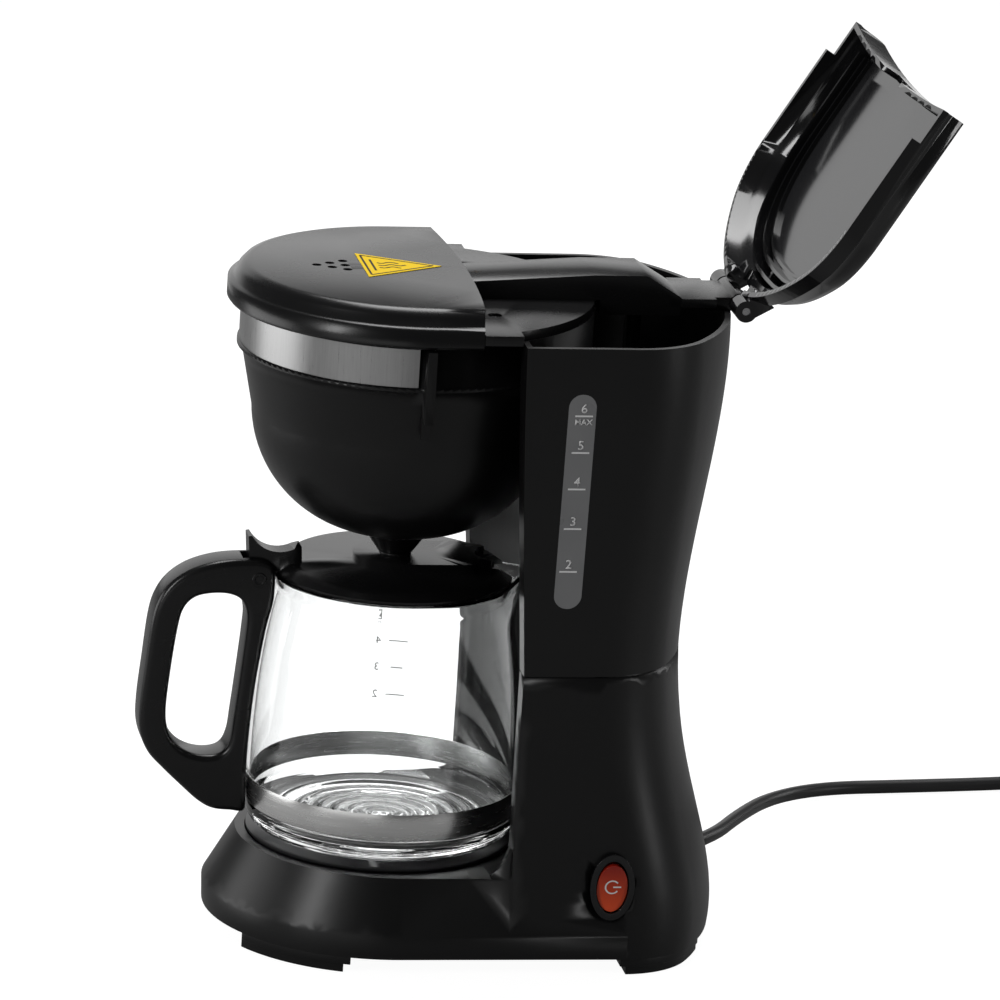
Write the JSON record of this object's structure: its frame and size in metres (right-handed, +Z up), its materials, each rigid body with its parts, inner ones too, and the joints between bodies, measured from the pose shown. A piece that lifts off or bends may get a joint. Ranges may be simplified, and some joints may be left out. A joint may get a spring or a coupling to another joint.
{
  "type": "drip coffee maker",
  "caption": "Drip coffee maker with glass jug, swing-out filter holder under a round brew head, rear water tank with an open hinged lid, rocker switch and mains cord.",
  "frame": {"origin": "on the surface the machine stands on, under the middle of its outline from the jug handle to the open lid", "axes": "+X to the side with the switch, -Y to the front where the jug is pulled out, +Z up"},
  "size_m": [0.2514, 0.4968, 0.3585],
  "materials": {
    "black_plastic": "satin",
    "gloss_black": "gloss",
    "feet": "matte",
    "steel": "satin",
    "hot_plate": "satin",
    "aluminium": "cast",
    "silicone": "matte",
    "white_plastic": "satin",
    "window": "frosted",
    "label": "satin",
    "wire_blue": "satin",
    "wire_brown": "satin",
    "cord_rubber": "satin",
    "plated_brass": "polished",
    "brushed_steel": "brushed",
    "mesh": "fine mesh",
    "basket": "satin",
    "glass": "clear",
    "red_rocker": "gloss"
  },
  "bodies": {
    "machine": {"base_plate": "black_plastic", "base_screws": "steel", "foot_front_left": "feet", "foot_front_right": "feet", "foot_rear_left": "feet", "foot_rear_right": "feet", "lower_housing": "black_plastic", "hot_plate": "hot_plate", "heating_element": "aluminium", "thermostat": "steel", "thermal_fuse": "steel", "fuse_clip": "steel", "inlet_hose": "silicone", "check_valve": "white_plastic", "tank_hose": "silicone", "outlet_hose": "silicone", "riser_pipe": "black_plastic", "tank_strainer": "white_plastic", "upper_housing": "black_plastic", "water_window": "window", "head_frame": "black_plastic", "head_screws": "steel", "head_cover": "black_plastic", "spray_head": "black_plastic", "bridge_cover": "black_plastic", "caution_label": "label", "holder_pin": "steel", "switch_bezel": "gloss_black", "switch_body": "black_plastic", "terminal_block": "white_plastic", "wire_heater": "wire_blue", "wire_switch": "wire_brown", "strain_relief": "cord_rubber", "cord": "cord_rubber", "cord_coil": "cord_rubber", "plug": "cord_rubber", "plug_pins": "plated_brass"},
    "tank_lid": {"tank_lid": "gloss_black", "lid_panel": "gloss_black", "lid_pin": "steel"},
    "filter_holder": {"filter_holder": "black_plastic", "holder_band": "brushed_steel", "filter_basket": "basket", "filter_mesh": "mesh", "drip_cage": "black_plastic"},
    "drip_stop": {"drip_valve": "black_plastic", "drip_seal": "silicone", "drip_spring": "steel"},
    "jug": {"jug_glass": "glass", "jug_handle": "black_plastic", "jug_strap": "brushed_steel", "strap_screw": "steel", "jug_pin": "steel"},
    "jug_lid": {"jug_lid": "black_plastic"},
    "rocker": {"rocker": "red_rocker"}
  },
  "joints": [
    {"name": "tank_lid_hinge", "type": "hinge", "parent": "machine", "child": "tank_lid", "pos_m": [0, 0.0811, 0.2628], "axis": [1, 0, 0], "range_deg": [0, 121.5]},
    {"name": "holder_swing", "type": "hinge", "parent": "machine", "child": "filter_holder", "pos_m": [-0.0675, -0.0233, 0.25], "axis": [0, 0, -1], "range_deg": [0, 95]},
    {"name": "drip_stop_lift", "type": "slide", "parent": "filter_holder", "child": "drip_stop", "axis": [0, 0, 1], "range_m": [0, 0.003], "stiffness_N_per_m": 120, "springref_m": -0.004, "deforming": ["drip_spring"]},
    {"name": "jug_slide", "type": "slide", "parent": "machine", "child": "jug", "axis": [0, -1, 0], "range_m": [0, 0.14]},
    {"name": "jug_lid_hinge", "type": "hinge", "parent": "jug", "child": "jug_lid", "pos_m": [0, -0.1053, 0.1454], "axis": [1, 0, 0], "range_deg": [0, 1.2]},
    {"name": "rocker_press", "type": "hinge", "parent": "machine", "child": "rocker", "pos_m": [0.0665, 0.0331, 0.0376], "axis": [0, -1, 0], "range_deg": [0, 12]}
  ]
}
